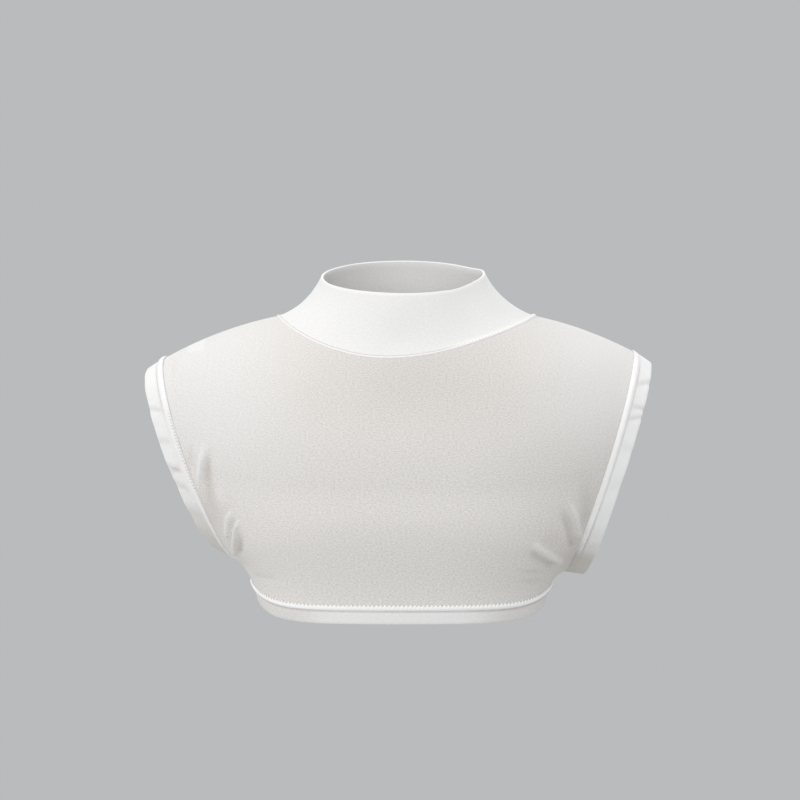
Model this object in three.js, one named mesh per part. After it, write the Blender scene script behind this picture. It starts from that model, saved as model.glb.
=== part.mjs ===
// Turtleneck dickey: a sleeveless, cropped half top in thin jersey with a stand collar,
// standing open as it does when it is worn. Millimetres, +Z up, the chest faces -Y.
// The origin lies in the middle of the neck, level with the ends of the shoulder seams.

import * as THREE from 'three';
import { LoftGeometry } from 'three/addons/geometries/LoftGeometry.js';

const { clamp, degToRad, lerp, smoothstep } = THREE.MathUtils;

// Widths of the body, from seam to seam
const shoulderWidth = 418;
const underarmWidth = 300;
const waistWidth = 269;
const neckWidth = 232;

// Depths of the body, forward and back from the plane of the shoulder and side seams
const chestDepth = 114;
const backDepth = 95;
const armholeDepth = 116;
const neckFrontDepth = 80;
const neckBackDepth = 70;

// Heights below the neck, and the rise of the shoulder line towards the middle of the neck
const shoulderFall = 33.5;
const underarmFall = 223;
const sideSeamLength = 19;
const waistFall = underarmFall + sideSeamLength;
const waistSag = 9.5;
const chestFall = 150;
const shoulderBladeFall = 120;
const crownRise = 10;

// The collar's upper rim, a tilted oval, and how far the collar is pulled to one side
const rimWidth = 147;
const rimDepth = 124;
const rimRise = 36;
const rimTilt = degToRad(16.5);
const neckShift = 4;
const rimShift = neckShift / 4;

// The folded bands: whole width, and the rolled seam along the edge that is sewn on
const armBandWidth = 18.5;
const armRollWidth = 5.5;
const hemBandWidth = 15.2;
const hemRollWidth = 4;
const neckRollWidth = 3;
const rollLift = 0.9;

// Cloth
const clothThickness = 1.2;
const foldedThickness = 2.2;
const clearance = 0.35;

// Shape of the body's cross-sections and of the oval neck seam
const bodySquareness = 2.6;
const neckSquareness = 2.15;
const neckSkew = 0.09;
const underarmLevel = 0.3;
const underarmSoftness = 0.14;
const underarmInset = 0.4;
const sideEase = 1.2;
const hemFullness = 0.45;
const hemFade = 0.6;
const chestLevel = 1;
const shoulderLevel = 2;
const foldFade = 6;

// How far a band turns, as a share of its width, from the way the cloth faces to its own slope,
// and where its rolled seam rises and falls, as shares of the roll's width
const seamTurn = 0.2;
const rollRise = 0.25;
const rollDrop = 0.7;

// Mesh steps
const armCells = 7;
const armCrowding = 1.3;
const neckCrowding = 1.35;
const sideCrowding = Math.PI / 2;
const chestCrowding = 0.55;
const neckCells = { front: 24, back: 16 };
const sideCells = 2;
const chestCells = 9;
const shoulderCells = 9;

// How each arm hole hangs, as shares of the sizes above. Left and right are the viewer's.
const armHoles = {
  left: { reach: 1.013, topFall: 1.12, underReach: 0.98, underFall: 0.975, bulge: 0.049 },
  right: { reach: 0.993, topFall: 0.95, underReach: 0.965, underFall: 1.025, bulge: 0.02 },
};

// Depth of each half down its middle, as a share of its greatest depth
const halves = {
  front: {
    sign: -1,
    depth: chestDepth,
    neckDepth: neckFrontDepth,
    neckSkew,
    fullFall: chestFall,
    shoulderSquareness: 2,
    sections: [
      { level: 0, depth: 0.89 },
      { level: 0.7, depth: 1 },
      { level: 1, depth: 0.98 },
    ],
  },
  back: {
    sign: 1,
    depth: backDepth,
    neckDepth: neckBackDepth,
    neckSkew: 0,
    fullFall: shoulderBladeFall,
    shoulderSquareness: 3,
    sections: [
      { level: 0, depth: 0.84 },
      { level: 0.5, depth: 0.93 },
      { level: 1, depth: 1 },
    ],
  },
};

// Soft folds of the front, each a straight ridge or dent seen from the front.
// x is a share of shoulderWidth, fall of underarmFall, width of armholeDepth and lift of chestDepth.
const folds = [
  { x0: -0.440, fall0: 0.48, x1: -0.425, fall1: 0.74, width: 0.10, lift: -0.024 },
  { x0: -0.385, fall0: 0.70, x1: -0.362, fall1: 0.98, width: 0.08, lift: 0.022 },
  { x0: 0.335, fall0: 0.74, x1: 0.372, fall1: 0.93, width: 0.08, lift: 0.024 },
  { x0: 0.270, fall0: 0.90, x1: 0.330, fall1: 0.99, width: 0.09, lift: 0.022 },
  { x0: 0.310, fall0: 0.82, x1: 0.345, fall1: 0.96, width: 0.08, lift: -0.020 },
];

// Finds where a rising or falling function crosses zero
function solve(measure, low, high) {
  const startsAbove = measure(low) > 0;
  for (let step = 0; step < 50; step++) {
    const middle = (low + high) / 2;
    if (measure(middle) > 0 === startsAbove) low = middle;
    else high = middle;
  }
  return (low + high) / 2;
}

// Reads a short table of sections, easing from row to row
function readTable(rows, column, level) {
  const next = Math.max(1, rows.findIndex((row) => row.level >= level));
  const low = rows[next - 1];
  const high = rows[next];
  return lerp(low[column], high[column], smoothstep(level, low.level, high.level));
}

// The arm hole's sizes at a place across the body, leaning from the left one's to the right one's
function armHole(across) {
  const lean = (column) => lerp(armHoles.left[column], armHoles.right[column], (across + 1) / 2);
  return {
    topReach: (shoulderWidth / 2) * lean('reach'),
    underReach: (underarmWidth / 2) * lean('underReach'),
    topFall: shoulderFall * lean('topFall'),
    underFall: underarmFall * lean('underFall'),
    bulge: (shoulderWidth / 2) * lean('bulge'),
  };
}

// The edge of a half: up the side seam to the underarm, then round the arm hole to the shoulder
function edgeAt(hole, level) {
  if (level <= underarmLevel) {
    const climb = level / underarmLevel;
    return {
      reach: lerp(waistWidth / 2, hole.underReach, Math.sin(climb * sideEase) / Math.sin(sideEase)),
      depth: 0,
      fall: lerp(waistFall, hole.underFall, climb),
    };
  }
  const quarter = level <= chestLevel ? (level - underarmLevel) / (chestLevel - underarmLevel) : level;
  const turn = (quarter * Math.PI) / 2;
  const halfReach = (hole.topReach - hole.underReach) / 2;
  const halfFall = (hole.underFall - hole.topFall) / 2;
  return {
    reach: hole.underReach + halfReach * (1 - Math.cos(turn)) + hole.bulge * Math.sin(turn),
    depth: (armholeDepth / 2) * Math.sin(turn),
    fall: hole.underFall - halfFall * (1 - Math.cos(turn)),
  };
}

// The same edge as the cloth further in follows it, easing past the corner at the underarm
function softEdgeAt(hole, level, inset) {
  const nearness = smoothstep(level, 0, underarmLevel) * (1 - smoothstep(level, underarmLevel, chestLevel));
  const reach = underarmSoftness * smoothstep(inset, 0, underarmInset) * nearness;
  const samples = [-1, -0.5, 0, 0.5, 1].map((shift) => edgeAt(hole, clamp(level + shift * reach, 0, chestLevel)));
  const mean = (column) => samples.reduce((sum, sample) => sum + sample[column], 0) / samples.length;
  return { reach: mean('reach'), depth: mean('depth'), fall: mean('fall') };
}

// Height of the shoulder line: level with the neck at its ends, and falling to the arm holes
function shoulderHeight(x, hole) {
  const side = x < neckShift ? -1 : 1;
  const span = side * (side * hole.topReach - neckShift);
  const curve = Math.log(1 + hole.topFall / crownRise) / Math.log(span / (neckWidth / 2));
  return crownRise * (1 - (Math.abs(x - neckShift) / (neckWidth / 2)) ** curve);
}

// Where a column lies across a row: nearly even on the chest, closer at the sides lower down
function spread(across, level) {
  const bend = lerp(sideCrowding, chestCrowding, smoothstep(level, underarmLevel, chestLevel));
  return Math.sin(bend * across) / Math.sin(bend);
}

// A point of the cloth's outer face. across runs from -1 at the left edge to 1 at the right one,
// level from the hem seam past the underarm and the chest to the shoulder seam.
function bodyPoint(half, across, level) {
  const hole = armHole(across);
  const place = spread(across, level);
  if (level <= chestLevel) {
    const roundness = lerp(bodySquareness, 1, smoothstep(level, underarmLevel, chestLevel));
    const inset = Math.max(0, 1 - Math.abs(place) ** bodySquareness);
    const edge = softEdgeAt(hole, level, inset);
    const middleDepth = half.depth * readTable(half.sections, 'depth', level);
    const middleFall = lerp(waistFall + waistSag, half.fullFall, level);
    const fullness = lerp(hemFullness, 1, smoothstep(level, 0, hemFade));
    return new THREE.Vector3(
      edge.reach * place,
      half.sign * lerp(edge.depth, middleDepth, inset ** (1 / roundness)),
      -lerp(edge.fall, middleFall, inset ** fullness),
    );
  }
  const chest = bodyPoint(half, across, chestLevel);
  const rise = Math.sin(((level - chestLevel) * Math.PI) / 2);
  const squareness = lerp(half.shoulderSquareness, 2, across * across);
  const halfReach = (hole.topReach - hole.underReach) / 2;
  const reach = hole.underReach + halfReach * (1 + rise) + hole.bulge * Math.sqrt(1 - rise * rise);
  return new THREE.Vector3(
    reach * place,
    chest.y * Math.max(0, 1 - rise ** squareness) ** (1 / squareness),
    lerp(chest.z, shoulderHeight(hole.topReach * place, hole), rise),
  );
}

// The way the cloth faces. On the side and shoulder seams it faces neither forward nor back.
function bodyNormal(half, across, level) {
  const step = 1e-3;
  const left = bodyPoint(half, Math.max(-1, across - step), level);
  const right = bodyPoint(half, Math.min(1, across + step), level);
  const low = bodyPoint(half, across, Math.max(0, level - step));
  const high = bodyPoint(half, across, Math.min(shoulderLevel, level + step));
  const normal = right.sub(left).cross(high.sub(low)).multiplyScalar(-half.sign);
  if (Math.abs(bodyPoint(half, across, level).y) < clearance / 2) normal.y = 0;
  return normal.normalize();
}

// How far the folds of the front lift the cloth at a point
function foldLift(point) {
  return folds.reduce((sum, fold) => {
    const start = new THREE.Vector2(fold.x0 * shoulderWidth, -fold.fall0 * underarmFall);
    const run = new THREE.Vector2(fold.x1 * shoulderWidth, -fold.fall1 * underarmFall).sub(start);
    const offset = new THREE.Vector2(point.x, point.z).sub(start);
    const along = clamp(offset.dot(run) / run.lengthSq(), 0, 1);
    const distance = offset.sub(run.multiplyScalar(along)).length();
    return sum + fold.lift * chestDepth * Math.exp(-((distance / (fold.width * armholeDepth)) ** 2));
  }, 0);
}

// Where the shoulder line meets the oval neck seam, and where each column ends
const neckEnds = [-1, 1].map((side) => solve((across) => {
  const x = armHole(across).topReach * spread(across, chestLevel);
  return side * (x - neckShift) - neckWidth / 2;
}, 0, side));

function topLevel(half, across) {
  if (across <= neckEnds[0] || across >= neckEnds[1]) return shoulderLevel;
  return solve((level) => {
    const point = bodyPoint(half, across, level);
    const wide = (point.x - neckShift) / (neckWidth / 2);
    const deep = Math.abs(point.y) / (half.neckDepth * (1 - half.neckSkew * wide));
    return Math.abs(wide) ** neckSquareness + deep ** neckSquareness - 1;
  }, chestLevel, shoulderLevel);
}

// Even steps from one value to another, both ends included
function steps(from, to, count) {
  return Array.from({ length: count + 1 }, (_, index) => lerp(from, to, index / count));
}

// The columns across a half, with one that ends on each end of the neck seam.
// They crowd at the edges, and on both sides of the neck towards the shoulder.
function columnsOf(name) {
  const crowd = (side, end) => steps(0, 1, armCells).map((share) => lerp(side, end, share ** armCrowding));
  const neck = steps(-neckCrowding, neckCrowding, neckCells[name]).map((turn) => (
    lerp(neckEnds[0], neckEnds[1], (1 + Math.sin(turn) / Math.sin(neckCrowding)) / 2)
  ));
  return [
    ...crowd(-1, neckEnds[0]).slice(0, -1),
    ...neck,
    ...crowd(1, neckEnds[1]).slice(0, -1).reverse(),
  ];
}

// The levels up one column, which stay the same below the chest
function levelsOf(half, across) {
  return [
    ...steps(0, underarmLevel, sideCells).slice(0, -1),
    ...steps(underarmLevel, chestLevel, chestCells).slice(0, -1),
    ...steps(chestLevel, topLevel(half, across), shoulderCells),
  ];
}

// Closes an outer and an inner sheet of points into one wall.
// Each sheet is a list of columns, running to the right as seen from outside.
function closedWall(outer, inner) {
  const columns = outer.length;
  const rows = outer[0].length;
  const total = columns * rows;
  const points = [...outer.flat(), ...inner.flat()];
  const faces = [];
  const at = (column, row) => column * rows + row;
  const quad = (a, b, c, d) => {
    const isShort = points[a].distanceTo(points[c]) <= points[b].distanceTo(points[d]);
    faces.push(...(isShort ? [a, b, c, a, c, d] : [b, c, d, b, d, a]));
  };
  for (let column = 0; column < columns - 1; column++) {
    for (let row = 0; row < rows - 1; row++) {
      const ring = [at(column, row), at(column + 1, row), at(column + 1, row + 1), at(column, row + 1)];
      quad(...ring);
      quad(...ring.map((corner) => corner + total).reverse());
    }
  }
  const upTo = (count) => [...Array(count).keys()];
  const border = [
    ...upTo(columns - 1).map((column) => at(column, 0)),
    ...upTo(rows - 1).map((row) => at(columns - 1, row)),
    ...upTo(columns - 1).map((column) => at(columns - 1 - column, rows - 1)),
    ...upTo(rows - 1).map((row) => at(0, rows - 1 - row)),
  ];
  border.forEach((corner, index) => {
    const next = border[(index + 1) % border.length];
    quad(next, corner, corner + total, next + total);
  });
  const geometry = new THREE.BufferGeometry();
  geometry.setAttribute('position', new THREE.Float32BufferAttribute(points.flatMap((p) => p.toArray()), 3));
  geometry.setIndex(faces);
  geometry.computeVertexNormals();
  return geometry;
}

// One half of the body, a single layer of jersey that stops just short of the other half
function panelGeometry(name) {
  const half = halves[name];
  const outer = [];
  const inner = [];
  for (const across of columnsOf(name)) {
    const outerColumn = [];
    const innerColumn = [];
    for (const level of levelsOf(half, across)) {
      const normal = bodyNormal(half, across, level);
      const point = bodyPoint(half, across, level);
      const edgeFade = 1 - Math.abs(across) ** foldFade;
      if (name === 'front') point.addScaledVector(normal, foldLift(point) * edgeFade);
      point.y += (half.sign * clearance) / 2;
      outerColumn.push(point);
      innerColumn.push(point.clone().addScaledVector(normal, -clothThickness));
    }
    outer.push(outerColumn);
    inner.push(innerColumn);
  }
  if (half.sign > 0) {
    outer.reverse();
    inner.reverse();
  }
  return closedWall(outer, inner);
}

// Turns a closed run of seam places into stations: the seam point, the way the cloth faces there,
// and the way onward in the cloth's own plane, away from the half that the band is sewn to
function seamStations(places, towards) {
  const points = places.map(({ half, across, level }) => bodyPoint(half, across, level));
  return places.map((place, index) => {
    const before = points[(index + points.length - 1) % points.length];
    const after = points[(index + 1) % points.length];
    const tangent = after.clone().sub(before).normalize();
    const normal = bodyNormal(place.half, place.across, place.level);
    const onward = normal.clone().cross(tangent).normalize();
    if (onward.dot(towards(points[index])) < 0) onward.negate();
    const base = points[index].clone().addScaledVector(onward, clearance);
    return { ...place, base, normal, onward, tangent };
  });
}

// A folded band: the rolled seam, then the flat double layer, then the rounded fold.
// Rows give the distance along the band and the height over its outer face.
function bandProfile(width, rollWidth, rows) {
  const fold = foldedThickness / 2;
  const flat = steps(rollWidth + fold, width - fold, rows);
  return {
    outer: [
      { along: 0, lift: 0 },
      { along: rollWidth * rollRise, lift: rollLift },
      { along: rollWidth * rollDrop, lift: rollLift },
      { along: rollWidth, lift: 0 },
      ...flat.slice(1).map((along) => ({ along, lift: 0 })),
      { along: width, lift: -fold },
    ],
    inner: [...flat.slice(rows > 2 ? 0 : 1).reverse(), 0].map((along) => ({
      along,
      lift: -foldedThickness,
    })),
  };
}

// Lofts a band's section round its stations. path gives the band's outer face and the way it faces.
function bandGeometry(stations, profile, path) {
  const sections = stations.map((station) => [...profile.outer, ...profile.inner].map((row) => {
    const { point, normal } = path(station, row.along);
    return point.addScaledVector(normal, row.lift);
  }));
  sections.push(sections[0].map((point) => point.clone()));
  return new LoftGeometry(sections);
}

// The way a band faces: as the cloth at the seam, and square to its own slope further on
function bandNormal(station, slope, share) {
  const square = station.tangent.clone().cross(slope);
  if (square.dot(station.normal) < 0) square.negate();
  return station.normal.clone().lerp(square.normalize(), smoothstep(share, 0, seamTurn)).normalize();
}

// Arm hole band, leaning out from the seam: down at the shoulder, up under the arm
const armLean = { top: -0.68, left: 0.45, right: -0.15, wrap: 0.5 };

function armBandGeometry(side) {
  const round = [...steps(underarmLevel, chestLevel, chestCells).slice(0, -1),
    ...steps(chestLevel, shoulderLevel, shoulderCells)];
  const place = (name) => (level) => ({ half: halves[name], across: side, level });
  const places = [...round.map(place('front')), ...round.slice(1, -1).reverse().map(place('back'))];
  const stations = seamStations(places, () => new THREE.Vector3(side, 0, 0));
  const turnOf = (point) => {
    const hole = armHole(side);
    const height = (-point.z - hole.topFall) / (hole.underFall - hole.topFall);
    return clamp(height, 0, 1);
  };
  const profile = bandProfile(armBandWidth, armRollWidth, 2);
  if (side < 0) stations.reverse();
  return bandGeometry(stations, profile, (station, along) => {
    const lean = lerp(armLean.top, side < 0 ? armLean.left : armLean.right, turnOf(station.base));
    const wrap = (-armLean.wrap * station.base.y) / (armholeDepth / 2);
    const slope = new THREE.Vector3(side, wrap, lean).normalize();
    return {
      point: station.base.clone().addScaledVector(slope, along),
      normal: bandNormal(station, slope, along / armBandWidth),
    };
  });
}

// Hem band, hanging from the hem seam and drawn in a little, most at the sides
const hemTaper = { middle: 0.1, side: 0.5, sharpness: 4 };

function hemBandGeometry() {
  const place = (name) => (across) => ({ half: halves[name], across, level: 0 });
  const places = [...columnsOf('front').map(place('front')),
    ...columnsOf('back').slice(1, -1).reverse().map(place('back'))];
  const stations = seamStations(places, () => new THREE.Vector3(0, 0, -1));
  const profile = bandProfile(hemBandWidth, hemRollWidth, 1);
  return bandGeometry(stations, profile, (station, along) => {
    const taper = lerp(hemTaper.middle, hemTaper.side, Math.abs(station.across) ** hemTaper.sharpness);
    const slope = station.normal.clone().setZ(0).setLength(-taper);
    slope.z = -1;
    slope.normalize();
    return {
      point: station.base.clone().addScaledVector(slope, along),
      normal: bandNormal(station, slope, along / hemBandWidth),
    };
  });
}

// Collar: a folded band that leaves the neck seam in the plane of the body and curves up to the rim
const rimLean = 0.35;
const curveLength = 0.9;

function rimPoint(base) {
  const half = base.y < 0 ? halves.front : halves.back;
  const round = new THREE.Vector2((base.x - neckShift) / (neckWidth / 2), base.y / half.neckDepth);
  round.normalize();
  const y = (rimDepth / 2) * round.y;
  return new THREE.Vector3(rimShift + (rimWidth / 2) * round.x, y, rimRise + y * Math.tan(rimTilt));
}

function collarGeometry() {
  const place = (name) => (across) => ({ half: halves[name], across, level: topLevel(halves[name], across) });
  const isNeck = (across) => across >= neckEnds[0] && across <= neckEnds[1];
  const places = [...columnsOf('front').filter(isNeck).map(place('front')),
    ...columnsOf('back').filter(isNeck).slice(1, -1).reverse().map(place('back'))];
  const stations = seamStations(places, (point) => point.clone().setZ(0).negate()).reverse();
  const widest = Math.max(...stations.map(({ base }) => base.distanceTo(rimPoint(base))));
  const profile = bandProfile(widest, neckRollWidth, 5);
  return bandGeometry(stations, profile, (station, along) => {
    const share = along / widest;
    const rim = rimPoint(station.base);
    const inward = new THREE.Vector3(-rim.x / rimWidth ** 2, -rim.y / rimDepth ** 2, 0).setLength(rimLean);
    const reach = station.base.distanceTo(rim) * curveLength;
    const leave = station.onward.clone().setLength(reach);
    const arrive = inward.add(new THREE.Vector3(0, 0, 1)).setLength(reach);
    const curve = new THREE.CubicBezierCurve3(
      station.base,
      station.base.clone().addScaledVector(leave, 1 / 3),
      rim.clone().addScaledVector(arrive, -1 / 3),
      rim,
    );
    return { point: curve.getPoint(share), normal: bandNormal(station, curve.getTangent(share), share) };
  });
}

// Materials: one layer of jersey lets some light through, and folded jersey is whiter
const singleJersey = new THREE.MeshStandardMaterial({ color: 0xdedbd7, roughness: 0.9, metalness: 0 });
const foldedJersey = new THREE.MeshStandardMaterial({ color: 0xf1f1f1, roughness: 0.85, metalness: 0 });

const dickey = new THREE.Group();

function addPiece(name, geometry, material) {
  const mesh = new THREE.Mesh(geometry, material);
  mesh.name = name;
  dickey.add(mesh);
}

addPiece('front_panel', panelGeometry('front'), singleJersey);
addPiece('back_panel', panelGeometry('back'), singleJersey);
addPiece('collar', collarGeometry(), foldedJersey);
addPiece('armhole_band_left', armBandGeometry(-1), foldedJersey);
addPiece('armhole_band_right', armBandGeometry(1), foldedJersey);
addPiece('hem_band', hemBandGeometry(), foldedJersey);

export default dickey;
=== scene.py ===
# Turtleneck dickey: a cropped, sleeveless half top in thin white jersey, standing as it is worn.
# Metres, +Z up, the chest faces -Y, and the origin is the middle of the neck.
import math
import bmesh
import bpy
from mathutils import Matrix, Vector, noise


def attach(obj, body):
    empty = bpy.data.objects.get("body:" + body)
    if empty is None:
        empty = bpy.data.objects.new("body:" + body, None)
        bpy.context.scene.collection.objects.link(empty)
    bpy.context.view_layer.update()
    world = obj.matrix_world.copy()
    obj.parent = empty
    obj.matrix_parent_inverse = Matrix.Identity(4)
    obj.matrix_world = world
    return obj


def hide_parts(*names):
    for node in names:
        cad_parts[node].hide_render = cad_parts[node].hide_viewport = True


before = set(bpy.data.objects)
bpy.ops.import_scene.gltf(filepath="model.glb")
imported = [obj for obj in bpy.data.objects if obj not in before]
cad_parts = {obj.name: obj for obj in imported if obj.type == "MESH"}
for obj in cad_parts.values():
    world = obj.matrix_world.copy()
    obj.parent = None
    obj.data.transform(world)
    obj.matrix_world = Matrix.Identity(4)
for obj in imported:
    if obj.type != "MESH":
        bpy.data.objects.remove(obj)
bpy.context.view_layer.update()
scene = bpy.context.scene
print("Frame loaded:", ", ".join(sorted(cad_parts)))

# The garment's driving sizes, the same as the solids have
garment = {
    "shoulderWidth": 0.418, "underarmWidth": 0.300, "waistWidth": 0.269, "neckWidth": 0.232,
    "chestDepth": 0.114, "backDepth": 0.095, "armholeDepth": 0.116,
    "neckFrontDepth": 0.080, "neckBackDepth": 0.070,
    "shoulderFall": 0.0335, "underarmFall": 0.223, "waistFall": 0.236, "waistSag": 0.0155,
    "chestFall": 0.150, "shoulderBladeFall": 0.120, "crownRise": 0.010,
    "rimWidth": 0.147, "rimDepth": 0.124, "rimRise": 0.036, "rimTilt": math.radians(16.5),
    "neckShift": 0.004, "rimShift": 0.001,
    "bodySquareness": 2.6, "neckSquareness": 2.15,
    "underarmSoftness": 0.14, "underarmInset": 0.4,
    "sideEase": 1.5, "hemFullness": 3.2, "hemFade": 0.6,
    "sideCrowding": math.pi / 2, "chestCrowding": 0.55,
    "seamGap": 0.00005, "faceLift": 0.0001,
}

# The body's levels: hem seam 0, then the underarm, the widest stretch of the arm hole, the shoulder seam
underarmLevel = 0.3
chestLevel = 1
shoulderLevel = 2

# How finely the shapes are worked out: halvings of a search, a step of a level, and two distances
halvings = 40
levelStep = 1e-3
flatDepth = 1e-4
weldDistance = 1e-6

# How each arm hole hangs, as shares of the sizes above. Left and right are the viewer's.
armHoles = {
    "left": {"reach": 1.013, "topFall": 1.12, "underReach": 0.98, "underFall": 0.975, "bulge": 0.049},
    "right": {"reach": 0.993, "topFall": 0.95, "underReach": 0.965, "underFall": 1.025, "bulge": 0.02},
}

# The two halves. Sections give the depth down the middle at a level, as a share of the greatest depth.
halves = {
    "front": {
        "sign": -1, "depth": garment["chestDepth"], "neckDepth": garment["neckFrontDepth"],
        "neckSkew": 0.09, "fullFall": garment["chestFall"], "shoulderSquareness": 2,
        "sections": ((0, 0.89), (0.7, 1), (1, 0.98)),
    },
    "back": {
        "sign": 1, "depth": garment["backDepth"], "neckDepth": garment["neckBackDepth"],
        "neckSkew": 0, "fullFall": garment["shoulderBladeFall"], "shoulderSquareness": 3,
        "sections": ((0, 0.84), (0.5, 0.93), (1, 1)),
    },
}


def lerp(low, high, share):
    return low + (high - low) * share


def clamp(value, low=0, high=1):
    return max(low, min(high, value))


def smooth(value, low, high):
    share = clamp((value - low) / (high - low))
    return share * share * (3 - 2 * share)


def bump(distance, width):
    return math.exp(-((distance / width) ** 2))


def steps(low, high, count):
    return [lerp(low, high, index / count) for index in range(count + 1)]


# A short table as a list of dictionaries, with each value under its column's name
def tableRows(columns, rows):
    return [dict(zip(columns.split(), row)) for row in rows]


def solve(measure, low, high):
    startsAbove = measure(low) > 0
    for _ in range(halvings):
        middle = (low + high) / 2
        if (measure(middle) > 0) == startsAbove:
            low = middle
        else:
            high = middle
    return (low + high) / 2


# Arm hole sizes at a place across the body, leaning from the left one's to the right one's
def armHole(across):
    left, right = armHoles["left"], armHoles["right"]
    lean = {key: lerp(left[key], right[key], (across + 1) / 2) for key in left}
    return {
        "topReach": garment["shoulderWidth"] / 2 * lean["reach"],
        "underReach": garment["underarmWidth"] / 2 * lean["underReach"],
        "topFall": garment["shoulderFall"] * lean["topFall"],
        "underFall": garment["underarmFall"] * lean["underFall"],
        "bulge": garment["shoulderWidth"] / 2 * lean["bulge"],
    }


# Up the side seam to the underarm, then round the arm hole: reach, depth and fall
def edgeAt(hole, level):
    if level <= underarmLevel:
        climb = level / underarmLevel
        reach = lerp(garment["waistWidth"] / 2, hole["underReach"], climb ** garment["sideEase"])
        return reach, 0, lerp(garment["waistFall"], hole["underFall"], climb)
    turn = (level - underarmLevel) / (chestLevel - underarmLevel) * math.pi / 2
    halfReach = (hole["topReach"] - hole["underReach"]) / 2
    halfFall = (hole["underFall"] - hole["topFall"]) / 2
    reach = hole["underReach"] + halfReach * (1 - math.cos(turn)) + hole["bulge"] * math.sin(turn)
    return (
        reach,
        garment["armholeDepth"] / 2 * math.sin(turn),
        hole["underFall"] - halfFall * (1 - math.cos(turn)),
    )


# The same edge as the cloth further in follows it, easing past the corner at the underarm
def softEdgeAt(hole, level, inset):
    nearness = smooth(level, 0, underarmLevel) * (1 - smooth(level, underarmLevel, chestLevel))
    reach = garment["underarmSoftness"] * smooth(inset, 0, garment["underarmInset"]) * nearness
    if reach == 0:
        return edgeAt(hole, level)
    samples = [edgeAt(hole, clamp(level + shift * reach, 0, chestLevel)) for shift in (-1, -0.5, 0, 0.5, 1)]
    return [sum(column) / len(samples) for column in zip(*samples)]


def shoulderHeight(x, hole):
    side = -1 if x < garment["neckShift"] else 1
    halfNeck = garment["neckWidth"] / 2
    span = side * (side * hole["topReach"] - garment["neckShift"])
    curve = math.log(1 + hole["topFall"] / garment["crownRise"]) / math.log(span / halfNeck)
    return garment["crownRise"] * (1 - (abs(x - garment["neckShift"]) / halfNeck) ** curve)


def spread(across, level):
    rise = smooth(level, underarmLevel, chestLevel)
    bend = lerp(garment["sideCrowding"], garment["chestCrowding"], rise)
    return math.sin(bend * across) / math.sin(bend)


def middleDepth(half, level):
    for (low, lowShare), (high, highShare) in zip(half["sections"], half["sections"][1:]):
        if level <= high:
            return half["depth"] * lerp(lowShare, highShare, smooth(level, low, high))


# A point of the cloth's outer face: across from -1 at the left edge to 1, level from hem to shoulder
def bodyPoint(half, across, level):
    hole = armHole(across)
    place = spread(across, level)
    if level <= chestLevel:
        squareness = garment["bodySquareness"]
        roundness = lerp(squareness, 1, smooth(level, underarmLevel, chestLevel))
        inset = max(0, 1 - abs(place) ** squareness)
        reach, depth, fall = softEdgeAt(hole, level, inset)
        middleFall = lerp(garment["waistFall"] + garment["waistSag"], half["fullFall"], level)
        fullness = lerp(garment["hemFullness"], 1, smooth(level, 0, garment["hemFade"]))
        return Vector((
            reach * place,
            half["sign"] * lerp(depth, middleDepth(half, level), inset ** (1 / roundness)),
            -lerp(fall, middleFall, 1 - (1 - inset) ** fullness),
        ))
    chest = bodyPoint(half, across, chestLevel)
    rise = math.sin((level - chestLevel) * math.pi / 2)
    squareness = lerp(half["shoulderSquareness"], 2, across * across)
    halfReach = (hole["topReach"] - hole["underReach"]) / 2
    reach = hole["underReach"] + halfReach * (1 + rise) + hole["bulge"] * math.sqrt(1 - rise * rise)
    return Vector((
        reach * place,
        chest.y * max(0, 1 - rise ** squareness) ** (1 / squareness),
        lerp(chest.z, shoulderHeight(hole["topReach"] * place, hole), rise),
    ))


def bodyNormal(half, across, level):
    left = bodyPoint(half, max(-1, across - levelStep), level)
    right = bodyPoint(half, min(1, across + levelStep), level)
    low = bodyPoint(half, across, max(0, level - levelStep))
    high = bodyPoint(half, across, min(shoulderLevel, level + levelStep))
    normal = (right - left).cross(high - low) * -half["sign"]
    if abs(bodyPoint(half, across, level).y) < flatDepth:
        normal.y = 0
    return normal.normalized()


def neckEnd(side):
    def past(across):
        x = armHole(across)["topReach"] * spread(across, chestLevel)
        return side * (x - garment["neckShift"]) - garment["neckWidth"] / 2
    return solve(past, 0, side)


neckEnds = (neckEnd(-1), neckEnd(1))


# The level where a column meets the oval neck seam, or the shoulder seam beyond it
def topLevel(half, across):
    if across <= neckEnds[0] or across >= neckEnds[1]:
        return shoulderLevel

    def outside(level):
        point = bodyPoint(half, across, level)
        wide = (point.x - garment["neckShift"]) / (garment["neckWidth"] / 2)
        deep = abs(point.y) / (half["neckDepth"] * (1 - half["neckSkew"] * wide))
        return abs(wide) ** garment["neckSquareness"] + deep ** garment["neckSquareness"] - 1
    return solve(outside, chestLevel, shoulderLevel)


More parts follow.
